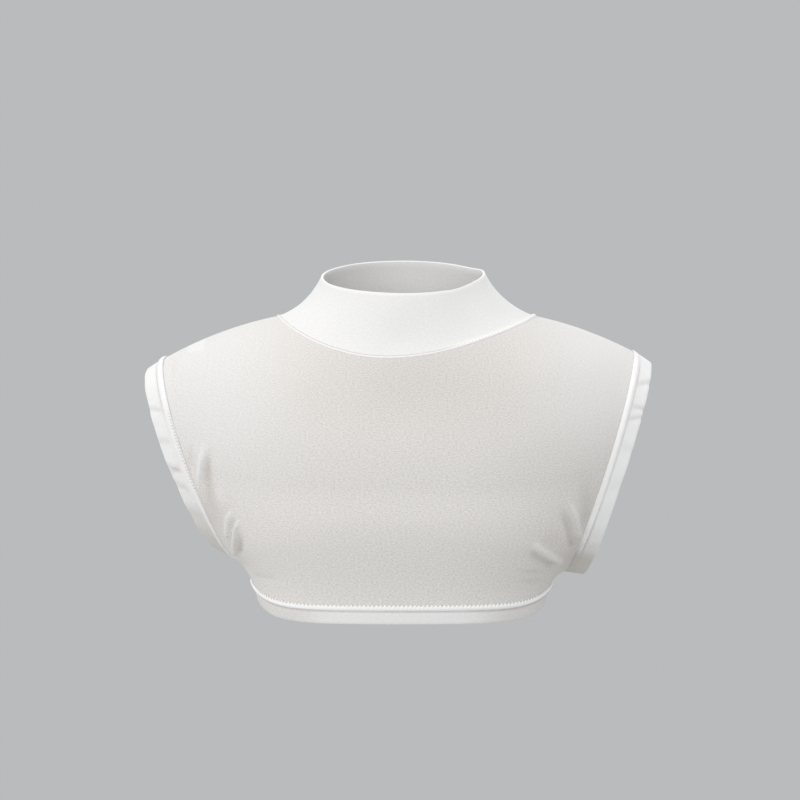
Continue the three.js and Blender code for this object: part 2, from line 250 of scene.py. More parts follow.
# Turns a grid of points into a cloth mesh with its own flat map in metres. Tones say how the colour leans
# at each point: up to 1 for whiter cloth, as over seam allowance, and for painted highlights and painted
# light, down to -1 for painted warm shade.
def clothMesh(name, points, flatMap, tones, isRing=False, flip=False):
    columns, rows = len(points) - 1, len(points[0]) - 1
    cloth = bmesh.new()
    clothMap = cloth.loops.layers.uv.new("Cloth")
    toneLayer = cloth.verts.layers.float.new("Tone")
    bmesh.ops.create_grid(cloth, x_segments=columns, y_segments=rows, size=0.5)
    for vertex in cloth.verts:
        column = round((vertex.co.x + 0.5) * columns)
        row = round((vertex.co.y + 0.5) * rows)
        for loop in vertex.link_loops:
            loop[clothMap].uv = flatMap[column][row]
        vertex[toneLayer] = tones[column][row]
        vertex.co = points[column][row]
    if isRing:
        bmesh.ops.remove_doubles(cloth, verts=cloth.verts, dist=weldDistance)
    for edge in cloth.edges:
        edge.smooth = not edge.is_boundary
    if flip:
        bmesh.ops.reverse_faces(cloth, faces=cloth.faces)
    mesh = bpy.data.meshes.new(name)
    cloth.to_mesh(mesh)
    cloth.free()
    mesh.shade_smooth()
    piece = bpy.data.objects.new(name, mesh)
    scene.collection.objects.link(piece)
    return piece


def giveThickness(piece, thickness):
    solidify = piece.modifiers.new("Thickness", "SOLIDIFY")
    solidify.thickness = thickness
    solidify.offset = -1


# Lengths along each line of a grid, from its start
def runLengths(line):
    lengths = [0.0]
    for before, after in zip(line, line[1:]):
        lengths.append(lengths[-1] + (after - before).length)
    return lengths


# Folds of the front, each a curved ridge or dent as seen from the front: three places (x, z) along it,
# how wide it is on its left and right hand going along it, how far it lifts the cloth, and the shares
# of its length over which it rises and dies away.
folds = tableRows("line left right lift fade", [
    (((-0.1698, -0.1150), (-0.1738, -0.1335), (-0.1768, -0.1550)), 0.0026, 0.0032, 0.0034, (0.4, 0.4)),
    (((-0.1660, -0.1200), (-0.1684, -0.1400), (-0.1668, -0.1690)), 0.0040, 0.0022, -0.0036, (0.5, 0.5)),
    (((-0.1828, -0.116), (-0.1836, -0.129), (-0.1810, -0.142)), 0.0026, 0.0034, -0.0018, (0.5, 0.5)),
    (((-0.1575, -0.149), (-0.1570, -0.160), (-0.1530, -0.173)), 0.0050, 0.0040, 0.0016, (0.5, 0.4)),
    (((-0.1470, -0.172), (-0.1510, -0.182), (-0.1508, -0.195)), 0.0026, 0.0020, 0.0028, (0.3, 0.1)),
    (((-0.1440, -0.177), (-0.1475, -0.189), (-0.1480, -0.205)), 0.0020, 0.0020, -0.0018, (0.3, 0.6)),
    (((-0.1405, -0.180), (-0.1442, -0.191), (-0.1455, -0.208)), 0.0018, 0.0018, 0.0034, (0.3, 0.0)),
    (((-0.1385, -0.190), (-0.1400, -0.200), (-0.1410, -0.210)), 0.0026, 0.0030, -0.0030, (0.6, 0.1)),
    (((-0.1300, -0.228), (-0.1180, -0.230), (-0.1060, -0.229)), 0.0026, 0.0026, -0.0011, (0.3, 0.5)),
    (((0.1125, -0.1985), (0.1220, -0.2065), (0.1360, -0.2160)), 0.0029, 0.0024, 0.0022, (0.3, 0.0)),
    (((0.1095, -0.2045), (0.1205, -0.2130), (0.1330, -0.2195)), 0.0022, 0.0036, -0.0026, (0.3, 0.1)),
    (((0.1370, -0.171), (0.1450, -0.187), (0.1490, -0.205)), 0.0050, 0.0045, -0.0028, (0.4, 0.1)),
    (((0.1440, -0.165), (0.1505, -0.180), (0.1545, -0.199)), 0.0032, 0.0036, 0.0026, (0.4, 0.2)),
    (((0.1560, -0.143), (0.1605, -0.168), (0.1575, -0.193)), 0.0065, 0.0060, -0.0022, (0.5, 0.3)),
    (((0.1020, -0.2225), (0.1120, -0.2245), (0.1240, -0.2245)), 0.0022, 0.0026, -0.0014, (0.5, 0.4)),
    (((0.1010, -0.2305), (0.1110, -0.2325), (0.1220, -0.2325)), 0.0022, 0.0026, -0.0014, (0.5, 0.4)),
    (((-0.2030, -0.038), (-0.2035, -0.050), (-0.2010, -0.063)), 0.0040, 0.0040, -0.0009, (0.1, 0.5)),
])

# Straight pieces in a fold, how many of its widths out it is felt, and how early it starts to rise:
# the rise's length divided by this lies before the fold's end
foldShape = {"pieces": 8, "reach": 3, "early": 3}


# The straight pieces of each fold's curve, which passes through its three places
def foldRuns():
    runs = []
    for fold in folds:
        start, middle, end = [Vector(place) for place in fold["line"]]
        pull = middle * 2 - (start + end) / 2
        curve = [start * (1 - t) ** 2 + pull * (2 * t * (1 - t)) + end * t * t
                 for t in steps(0, 1, foldShape["pieces"])]
        reach = foldShape["reach"] * max(fold["left"], fold["right"])
        xs, zs = [point.x for point in curve], [point.y for point in curve]
        bounds = (min(xs) - reach, max(xs) + reach, min(zs) - reach, max(zs) + reach)
        runs.append((fold, curve, bounds))
    return runs


def foldLift(x, z, runs):
    total = 0
    place = Vector((x, z))
    for fold, curve, (left, right, low, high) in runs:
        if not (left < x < right and low < z < high):
            continue
        nearest = None
        for index, (start, end) in enumerate(zip(curve, curve[1:])):
            run = end - start
            offset = place - start
            along = clamp(offset.dot(run) / run.length_squared)
            away = (offset - run * along).length
            if nearest is None or away < nearest[0]:
                share = (index + along) / foldShape["pieces"]
                nearest = (away, share, run.x * offset.y - run.y * offset.x)
        away, share, side = nearest
        strength = fold["lift"]
        for fromEnd, fade in zip((share, 1 - share), fold["fade"]):
            if fade:
                strength *= smooth(fromEnd, -fade / foldShape["early"], fade)
        total += strength * bump(away, fold["left"] if side > 0 else fold["right"])
    return total


# Body panels
panels = {
    "thickness": 0.0010, "armCrowding": 1.4, "neckCrowding": 1.35,
    "front": {"armColumns": 58, "neckColumns": 150, "sideRows": 16, "chestRows": 84, "shoulderRows": 50},
    "back": {"armColumns": 30, "neckColumns": 90, "sideRows": 10, "chestRows": 44, "shoulderRows": 44},
    "hemDip": 0.0001, "hemReach": 0.0025, "armDip": 0.0001, "armReach": 0.0030,
    "neckDip": 0.0001, "neckReach": 0.0015, "shoulderDip": 0.0003, "shoulderReach": 0.0012,
    "sideRidge": 0.0004, "sidePlace": 0.007, "sideReach": 0.0020, "sideSeamEnd": 0.8,
    "ripple": 0.0005, "rippleSize": 0.045, "fineRipple": 0.00010, "fineRippleSize": 0.011,
    # The fold factor turns each fold's lift into colour: painted highlight on the ridges, painted shade in
    # the dents
    "rippleFade": 0.012, "foldStart": -0.001, "foldFull": 0.004, "foldPaintedShading": 130,
    "sideTone": 0.20, "sideToneFade": 0.003, "sideToneLow": -0.01, "sideToneHigh": 0.03,
    "lozenge": {"left": -0.192, "right": -0.174, "low": -0.0340, "edge": 0.0020, "tone": 0.25},
    # Painted shade over the middle of the chest and in the underarm creases
    "chestShade": {"x": 0.012, "width": 0.080, "low": -0.115, "high": -0.055, "tone": -0.42},
    "underarmShades": tableRows("x z width height tone", [
        (-0.163, -0.178, 0.014, 0.024, -0.36),
        (-0.167, -0.161, 0.009, 0.018, -0.20),
        (-0.146, -0.205, 0.012, 0.014, -0.20),
        (0.126, -0.196, 0.010, 0.009, -0.22),
        (0.150, -0.214, 0.018, 0.015, -0.56),
    ]),
    # Painted light on both shoulders
    "shoulderPaintedLight": tableRows("side near far low high tone", [
        (-1, 0.06, 0.16, -0.185, -0.090, 0.30),
        (1, 0.07, 0.19, -0.150, -0.075, 0.44),
    ]),
    # Painted shade low on the right side
    "lowShade": {"near": 0.07, "far": 0.15, "low": 0.14, "high": 0.19, "tone": -0.14},
}


def panelColumns(grid):
    crowding = panels["neckCrowding"]
    arm = [share ** panels["armCrowding"] for share in steps(0, 1, grid["armColumns"])]
    return (
        [lerp(-1, neckEnds[0], share) for share in arm[:-1]]
        + [lerp(neckEnds[0], neckEnds[1], (1 + math.sin(turn) / math.sin(crowding)) / 2)
           for turn in steps(-crowding, crowding, grid["neckColumns"])]
        + [lerp(1, neckEnds[1], share) for share in reversed(arm[:-1])]
    )


def panelLevels(grid, half, across):
    return (
        steps(0, underarmLevel, grid["sideRows"])[:-1]
        + steps(underarmLevel, chestLevel, grid["chestRows"])[:-1]
        + steps(chestLevel, topLevel(half, across), grid["shoulderRows"])
    )


# The way a grid of points faces at one of them
def gridNormal(grid, column, row, sign):
    columns, rows = len(grid) - 1, len(grid[0]) - 1
    wide = grid[min(columns, column + 1)][row] - grid[max(0, column - 1)][row]
    high = grid[column][min(rows, row + 1)] - grid[column][max(0, row - 1)]
    normal = wide.cross(high) * -sign
    if abs(grid[column][row].y) < flatDepth:
        normal.y = 0
    return normal.normalized()


# How the seams press or raise the cloth near each edge of a panel
def seamLift(toSide, toHem, toTop, sideShare, isNeck):
    lift = -panels["hemDip"] * bump(toHem, panels["hemReach"])
    if sideShare > 0:
        lift += sideShare * panels["sideRidge"] * bump(toSide - panels["sidePlace"], panels["sideReach"])
    lift -= (1 - sideShare) * panels["armDip"] * bump(toSide, panels["armReach"])
    kind = "neck" if isNeck else "shoulder"
    return lift - panels[kind + "Dip"] * bump(toTop, panels[kind + "Reach"])


# The side seam's strip, then the patches of the front and of both shoulders, most of them painted shade and
# painted light
def panelTone(point, level, toSide, isFront):
    strip = 1 - smooth(toSide, panels["sidePlace"], panels["sidePlace"] + panels["sideToneFade"])
    high = smooth(level, underarmLevel + panels["sideToneLow"], underarmLevel + panels["sideToneHigh"])
    tone = panels["sideTone"] * strip * (1 - high)
    if isFront:
        patch = panels["lozenge"]
        wide = smooth(point.x, patch["left"], patch["left"] + patch["edge"])
        wide *= 1 - smooth(point.x, patch["right"] - patch["edge"], patch["right"])
        tone += patch["tone"] * wide * smooth(point.z, patch["low"], patch["low"] + patch["edge"])
        patch = panels["chestShade"]
        middle = bump(point.x - patch["x"], patch["width"])
        tone += patch["tone"] * middle * smooth(point.z, patch["low"], patch["high"])
        patch = panels["lowShade"]
        outward = smooth(point.x, patch["near"], patch["far"])
        tone += patch["tone"] * outward * smooth(-point.z, patch["low"], patch["high"])
        for patch in panels["underarmShades"]:
            wide = bump(point.x - patch["x"], patch["width"])
            tone += patch["tone"] * (wide * bump(point.z - patch["z"], patch["height"]))
    for patch in panels["shoulderPaintedLight"]:
        outward = smooth(patch["side"] * point.x, patch["near"], patch["far"])
        tone += patch["tone"] * outward * smooth(point.z, patch["low"], patch["high"])
    return tone


def makePanel(name, halfName):
    half = halves[halfName]
    grid = panels[halfName]
    isFront = halfName == "front"
    columns = panelColumns(grid)
    levels = [panelLevels(grid, half, across) for across in columns]
    base = [[bodyPoint(half, across, level) for level in column] for across, column in zip(columns, levels)]
    acrossRuns = [runLengths([column[row] for column in base]) for row in range(len(base[0]))]
    runs = foldRuns()
    points, flatMap, tones = [], [], []
    for index, across in enumerate(columns):
        upRun = runLengths(base[index])
        line, mapLine, toneLine = [], [], []
        isNeck = neckEnds[0] < across < neckEnds[1]
        for row, level in enumerate(levels[index]):
            point = base[index][row]
            wide, fullWidth = acrossRuns[row][index], acrossRuns[row][-1]
            toSide, toHem, toTop = min(wide, fullWidth - wide), upRun[row], upRun[-1] - upRun[row]
            sideShare = 1 - smooth(level, underarmLevel * panels["sideSeamEnd"], underarmLevel)
            lift = seamLift(toSide, toHem, toTop, sideShare, isNeck)
            fade = smooth(min(toSide, toHem, toTop), 0, panels["rippleFade"])
            lift += panels["ripple"] * fade * noise.noise(point / panels["rippleSize"])
            lift += panels["fineRipple"] * fade * noise.noise(point / panels["fineRippleSize"])
            crease = 0
            if isFront:
                inward = smooth(toSide, panels["foldStart"], panels["foldFull"])
                crease = foldLift(point.x, point.z, runs) * inward
            placed = point + gridNormal(base, index, row, half["sign"]) * (lift + crease)
            placed.y += half["sign"] * garment["seamGap"] / 2
            line.append(placed)
            mapLine.append((wide - fullWidth / 2, upRun[row]))
            tone = panelTone(point, level, toSide, isFront)
            # Ridges of the folds get painted highlight and dents painted shade
            toneLine.append(tone + panels["foldPaintedShading"] * crease)
        points.append(line)
        flatMap.append(mapLine)
        tones.append(toneLine)
    piece = clothMesh(name, points, flatMap, tones, flip=half["sign"] > 0)
    giveThickness(piece, panels["thickness"])
    return piece


# A closed run of seam places: each with the seam point, the way the cloth faces and the way onward
def seamStations(places, towards):
    seam = [bodyPoint(*place) for place in places]
    stations = []
    length = 0
    for index, place in enumerate(places):
        before, after = seam[index - 1], seam[(index + 1) % len(seam)]
        tangent = (after - before).normalized()
        normal = bodyNormal(*place)
        onward = normal.cross(tangent).normalized()
        if onward.dot(towards(seam[index])) < 0:
            onward.negate()
        stations.append({
            "base": seam[index] + onward * garment["seamGap"],
            "normal": normal, "onward": onward, "tangent": tangent,
            "across": place[1], "length": length,
        })
        length += (after - seam[index]).length
    return stations, length


# The same run with its stations at even distances
def evenStations(stations, length, count):
    closed = stations + [dict(stations[0], length=length)]
    even, index = [], 0
    for goal in steps(0, length, count)[:-1]:
        while closed[index + 1]["length"] <= goal:
            index += 1
        near, far = closed[index], closed[index + 1]
        share = (goal - near["length"]) / (far["length"] - near["length"])
        station = {key: near[key].lerp(far[key], share) for key in ("base", "normal", "onward", "tangent")}
        station["across"] = lerp(near["across"], far["across"], share)
        station["length"] = goal
        even.append(station)
    return even


# The share of a band's width over which it turns to its own slope, and how full the rolls are
bandSettle = 0.2
rollPower = 0.8


# The way a band faces: as the cloth at the seam, and square to its own slope further on
def bandNormal(station, slope, share):
    square = station["tangent"].cross(slope)
    if square.dot(station["normal"]) < 0:
        square.negate()
    return station["normal"].lerp(square.normalized(), smooth(share, 0, bandSettle)).normalized()


# A folded strip, seen end on: over the seam roll, out along its face, round the fold and back.
# Rows are the distance along, the height, and whether the row is on the outer face.
def foldedProfile(band, edge):
    halfThickness = band["thickness"] / 2
    straight = band["width"] - halfThickness
    face = steps(edge, band["rollWidth"], band["rollRows"])[:-1]
    face += steps(band["rollWidth"], straight, band["faceRows"])
    rows = [(along, 0, 1) for along in face]
    for turn in steps(0, math.pi, band["foldRows"])[1:]:
        along = straight + halfThickness * math.sin(turn)
        rows.append((along, halfThickness * (math.cos(turn) - 1), 0))
    return rows + [(along, -band["thickness"], 0) for along in steps(straight, 0, band["backRows"])[1:]]


# edge gives where the band starts at a station, relief lifts the outer face alone, wave moves
# both layers, and tone is the lean of the colour, mostly painted highlight and painted shade
def makeBand(name, band, stations, length, shape, flip=False):
    points, flatMap, tones = [], [], []
    for index in range(len(stations) + 1):
        station = stations[index % len(stations)]
        run = station["length"] if index < len(stations) else length
        line, mapLine, toneLine = [], [], []
        for along, lift, isFace in foldedProfile(band, shape["edge"](station)):
            point, normal = shape["path"](station, along)
            raised = lift + shape["wave"](station, along) + isFace * shape["relief"](station, along)
            line.append(point + normal * raised)
            turned = along if lift > -band["thickness"] / 2 else 2 * band["width"] - along
            mapLine.append((run, turned))
            toneLine.append(shape["tone"](station, along))
        points.append(line)
        flatMap.append(mapLine)
        tones.append(toneLine)
    piece = clothMesh(name, points, flatMap, tones, isRing=True, flip=flip)
    giveThickness(piece, band["clothThickness"])
    return piece


def rollShape(along, start, end, lift):
    share = clamp((along - start) / (end - start))
    return lift * math.sin(math.pi * share) ** rollPower


# The roll along a band that overlaps its panel, and the closeness to a line along a band
def seamRoll(band, along, lift):
    return rollShape(along, -band["overlap"], band["rollWidth"], lift)


def near(band, line, along):
    return bump(along - band[line + "Place"], band[line + "Width"])


# Reads one column of a short table by height, easing from row to row
def readRows(rows, column, height):
    if height >= rows[0]["z"]:
        return rows[0][column]
    for high, low in zip(rows, rows[1:]):
        if height >= low["z"]:
            return lerp(low[column], high[column], smooth(height, low["z"], high["z"]))
    return rows[-1][column]


# Arm hole bands. The rows say how the seam shows at each height: the roll, the ditch beside it, the
# needle holes, the fine crest, and the tone, which whitens the band high up, partly as folded cloth and
# partly as painted light, and is painted shade low at the underarm. The dents cross the flat of the band.
# The full sizes are those at which roll, crest, ditch, stitch and dent have their whole tone: painted
# highlight on the roll, crest and rim, and painted shade in the ditch, the needle holes and the dents.
armBand = {
    "width": 0.0185, "rollWidth": 0.0052,
    "thickness": 0.0022, "clothThickness": 0.0008,
    "rollRows": 10, "faceRows": 8, "foldRows": 5, "backRows": 5,
    "halfStations": 500, "leanTop": -0.68, "leanUnder": {"left": 0.45, "right": -0.15}, "wrap": 0.5,
    "overlap": 0.0007, "lump": 0.25, "lumpSize": 0.007,
    "ditchPlace": 0.0056, "ditchWidth": 0.0010, "ditchPaintedShade": 1.3,
    "stitchPitch": 0.0029, "stitchPlace": 0.0006, "stitchWidth": 0.0007, "stitchPaintedShade": 2.4,
    "crestPlace": 0.0012, "crestWidth": 0.0008, "crestPaintedHighlight": 1.3, "rollPaintedHighlight": 0.3, "dentPaintedShade": 0.8,
    "rimReach": 0.0016, "rimPaintedHighlight": 0.5, "dentFade": 0.004,
    "fullRoll": 0.0017, "fullCrest": 0.0009, "fullDitch": 0.0010, "fullStitch": 0.0005, "fullDent": 0.0010,
    "pucker": 0.0009, "puckerSize": 0.016,
    "sides": {
        "left": tableRows("z roll ditch stitch crest tone", [
            (-0.078, 0.0012, 0.0008, 0, 0.0002, 0.40),
            (-0.096, 0.0004, 0.0002, 0.0005, 0.0001, 0.35),
            (-0.148, 0.0003, 0.0001, 0.0005, 0.0001, 0.35),
            (-0.160, 0.0003, 0.0000, 0.0002, 0.0004, 0.15),
            (-0.180, 0.0003, 0.0000, 0, 0.0009, -0.50),
            (-0.205, 0.0003, 0.0000, 0, 0.0009, -0.75),
        ]),
        "right": tableRows("z roll ditch stitch crest tone", [
            (-0.034, 0.0002, 0.0002, 0, 0.0001, 0.80),
            (-0.046, 0.0018, 0.0010, 0, 0.0003, 0.90),
            (-0.150, 0.0017, 0.0011, 0, 0.0003, 1.00),
            (-0.178, 0.0016, 0.0012, 0, 0.0003, 0.70),
            (-0.194, 0.0015, 0.0010, 0, 0.0002, 0.15),
            (-0.203, 0.0012, 0.0006, 0, 0.0000, -0.30),
            (-0.214, 0.0001, 0.0001, 0, 0.0000, -0.95),
        ]),
    },
    "dents": {
        "left": tableRows("z depth width slant", [
            (-0.086, 0.0008, 0.0036, 0.5),
            (-0.113, 0.0006, 0.0040, 0.3),
            (-0.131, 0.0006, 0.0034, -0.4),
            (-0.143, 0.0007, 0.0034, 0.6),
            (-0.158, 0.0007, 0.0045, 0.5),
        ]),
        "right": tableRows("z depth width slant", [
            (-0.064, 0.0009, 0.0028, 0.7),
            (-0.081, 0.0009, 0.0026, 0.3),
            (-0.094, 0.0009, 0.0028, 0.6),
            (-0.116, 0.0003, 0.0050, 0.2),
            (-0.150, 0.0003, 0.0060, 0.2),
        ]),
    },
}


def makeArmBand(name, sideName):
    side = -1 if sideName == "left" else 1
    levels = steps(underarmLevel, shoulderLevel, armBand["halfStations"])
    front = [(halves["front"], side, level) for level in levels]
    back = [(halves["back"], side, level) for level in reversed(levels[1:-1])]
    stations, length = seamStations(front + back, lambda point: Vector((side, 0, 0)))
    hole = armHole(side)
    pitch = length / round(length / armBand["stitchPitch"])
    rows, dents = armBand["sides"][sideName], armBand["dents"][sideName]
    for station in stations:
        for column in ("roll", "ditch", "stitch", "crest", "tone"):
            station[column] = readRows(rows, column, station["base"].z)
        station["roll"] *= 1 + armBand["lump"] * noise.noise(station["base"] / armBand["lumpSize"])
        station["dot"] = (0.5 + 0.5 * math.cos(2 * math.pi * station["length"] / pitch)) ** 2

    def path(station, along):
        height = clamp((-station["base"].z - hole["topFall"]) / (hole["underFall"] - hole["topFall"]))
        lean = lerp(armBand["leanTop"], armBand["leanUnder"][sideName], height)
        wrap = -armBand["wrap"] * station["base"].y / (garment["armholeDepth"] / 2)
        slope = Vector((side, wrap, lean)).normalized()
        return station["base"] + slope * along, bandNormal(station, slope, along / armBand["width"])

    def relief(station, along):
        lift = garment["faceLift"] + seamRoll(armBand, along, station["roll"])
        lift += station["crest"] * near(armBand, "crest", along)
        lift -= station["ditch"] * near(armBand, "ditch", along)
        return lift - station["stitch"] * (station["dot"] * near(armBand, "stitch", along))

    def dentDepth(station, along):
        if station["base"].y > 0:
            return 0
        crossing = smooth(along, armBand["rollWidth"], armBand["rollWidth"] + armBand["dentFade"])
        depths = [dent["depth"] * bump(station["base"].z - dent["z"] - dent["slant"] * along, dent["width"])
                  for dent in dents]
        return crossing * sum(depths)

    def wave(station, along):
        reach = smooth(along, armBand["rollWidth"] / 2, armBand["width"])
        lift = armBand["pucker"] * noise.noise(station["base"] / armBand["puckerSize"]) * reach
        return lift - dentDepth(station, along)

    # Painted highlights on the roll, crest and rim, painted shade in the ditch, needle holes and dents
    def tone(station, along):
        atRim = smooth(along, armBand["width"] - armBand["rimReach"], armBand["width"])
        lean = station["tone"] + armBand["rimPaintedHighlight"] * atRim
        rolled = seamRoll(armBand, along, station["roll"]) / armBand["fullRoll"]
        crested = station["crest"] / armBand["fullCrest"] * near(armBand, "crest", along)
        ditched = station["ditch"] / armBand["fullDitch"] * near(armBand, "ditch", along)
        dotted = station["stitch"] / armBand["fullStitch"] * station["dot"]
        dotted *= near(armBand, "stitch", along)
        lean += armBand["rollPaintedHighlight"] * rolled + armBand["crestPaintedHighlight"] * crested
        lean -= armBand["dentPaintedShade"] * dentDepth(station, along) / armBand["fullDent"]
        return lean - armBand["ditchPaintedShade"] * ditched - armBand["stitchPaintedShade"] * dotted

    shape = {"edge": lambda station: -armBand["overlap"], "path": path, "relief": relief, "wave": wave,
             "tone": tone}
    return makeBand(name, armBand, stations, length, shape, flip=side < 0)


# Hem band. Its seam is overlocked, so the roll's upper edge is a row of fine teeth.
hemBand = {
    "width": 0.0152, "rollWidth": 0.0038, "rollLift": 0.0011, "ditch": 0.0009, "ditchWidth": 0.0007,
    "thickness": 0.0022, "clothThickness": 0.0007,
    "rollRows": 9, "faceRows": 5, "foldRows": 5, "backRows": 4,
    "halfStations": 700, "taperMiddle": 0.1, "taperSide": 0.5, "taperSharpness": 4,
    "pucker": 0.0004, "puckerSize": 0.022,
    "toothPitch": 0.0036, "toothHeight": 0.0019, "toothLift": 0.0003, "stationsPerTooth": 8,
    # The teeth and roll are whitened, partly as white thread and partly as painted highlight; the ditch and
    # the band's ends get painted shade
    "toothTone": 1.2, "toothToneStart": 0.0008, "toothToneEnd": 0.0006, "ditchPaintedShade": 1.0,
    "flatTone": 0.25, "endPaintedShade": -0.65, "endNear": 0.045, "endFar": 0.100,
}


def makeHemBand(name):
    turns = steps(-1, 1, hemBand["halfStations"])
    front = [(halves["front"], across, 0) for across in turns]
    back = [(halves["back"], across, 0) for across in reversed(turns[1:-1])]
    stations, length = seamStations(front + back, lambda point: Vector((0, 0, -1)))
    teeth = round(length / hemBand["toothPitch"])
    stations = evenStations(stations, length, teeth * hemBand["stationsPerTooth"])
    pitch = length / teeth

    def edge(station):
        phase = station["length"] / pitch % 1
        return -hemBand["toothHeight"] * (1 - abs(2 * phase - 1))

    def path(station, along):
        sharpness = abs(station["across"]) ** hemBand["taperSharpness"]
        taper = lerp(hemBand["taperMiddle"], hemBand["taperSide"], sharpness)
        slope = Vector((station["normal"].x, station["normal"].y, 0)).normalized() * -taper
        slope.z = -1
        slope.normalize()
        if along < 0:
            slope = station["onward"]
        return station["base"] + slope * along, bandNormal(station, slope, along / hemBand["width"])

    def relief(station, along):
        start, end = edge(station), hemBand["rollWidth"]
        rise = garment["faceLift"] + hemBand["toothLift"] * (1 - smooth(along, 0, end))
        roll = rollShape(along, start, end, hemBand["rollLift"])
        return rise + roll - hemBand["ditch"] * bump(along - end, hemBand["ditchWidth"])

    def wave(station, along):
        lift = hemBand["pucker"] * noise.noise(station["base"] / hemBand["puckerSize"])
        return lift * smooth(along, hemBand["rollWidth"], hemBand["width"])

    # Whiter over the teeth and roll, painted shade in the ditch and towards the band's ends
    def tone(station, along):
        end = hemBand["rollWidth"]
        outward = smooth(abs(station["base"].x), hemBand["endNear"], hemBand["endFar"])
        flat = hemBand["flatTone"] + hemBand["endPaintedShade"] * outward
        past = smooth(along, end - hemBand["toothToneStart"], end + hemBand["toothToneEnd"])
        lean = lerp(hemBand["toothTone"], flat, past)
        return lean - hemBand["ditchPaintedShade"] * bump(along - end, hemBand["ditchWidth"])

    shape = {"edge": edge, "path": path, "relief": relief, "wave": wave, "tone": tone}
    return makeBand(name, hemBand, stations, length, shape, flip=True)


# Collar: a folded strip that leaves the neck seam in the plane of the body and curves up to the rim.
# On the left its seam is two fine stitched lines, and on the right a soft puckered ridge.
collar = {
    "rollWidth": 0.0042,
    "thickness": 0.0022, "clothThickness": 0.0008,
    "rollRows": 13, "faceRows": 18, "foldRows": 5, "backRows": 10,
    "frontStations": 520, "backStations": 360, "neckCrowding": 1.45,
    "rimLean": 0.35, "curveLength": 0.9,
    "overlap": 0.0008, "fineLine": 0.00045, "fineGroove": 0.00040, "fineWidth": 0.0006, "grooveStep": 3,
    # Painted highlight on the fine line, the ridge and the rim, and painted shade in the groove and at the
    # stitch dashes
    "linePaintedHighlight": 1.0, "groovePaintedShade": 0.9, "ridgePaintedHighlight": 1.1, "dashPaintedShade": 1.2, "flatTone": 0.15,
    "rimReach": 0.0018, "rimPaintedHighlight": 0.9, "endBump": 0.0006, "endNear": 0.103, "endFar": 0.113,
    "tipRise": 0.0040, "tipNear": 0.55, "tipBack": 0.7,
    "secondLine": 0.0024, "secondLift": 0.0003, "secondEnd": -0.045, "secondFade": 0.02,
    "ridge": 0.0009, "ridgeStart": 0.030, "ridgeFull": 0.075,
    "stitchPitch": 0.0034, "stitchShare": 0.55,
    "ripple": 0.0006, "rippleSize": 0.030, "rippleNear": 0.004, "rippleFar": 0.02,
}


def rimPoint(base):
    half = halves["front"] if base.y < 0 else halves["back"]
    wide = (base.x - garment["neckShift"]) / (garment["neckWidth"] / 2)
    turn = Vector((wide, base.y / half["neckDepth"]))
    turn.normalize()
    y = garment["rimDepth"] / 2 * turn.y
    x = garment["rimShift"] + garment["rimWidth"] / 2 * turn.x
    rise = collar["tipRise"] * smooth(turn.x, collar["tipNear"], 1)
    rise *= 1 - smooth(turn.y, 0, collar["tipBack"])
    return Vector((x, y, garment["rimRise"] + y * math.tan(garment["rimTilt"]) + rise))


def neckPlaces(halfName, count):
    half = halves[halfName]
    crowding = collar["neckCrowding"]
    places = []
    for turn in steps(-crowding, crowding, count):
        across = lerp(neckEnds[0], neckEnds[1], (1 + math.sin(turn) / math.sin(crowding)) / 2)
        places.append((half, across, topLevel(half, across)))
    return places


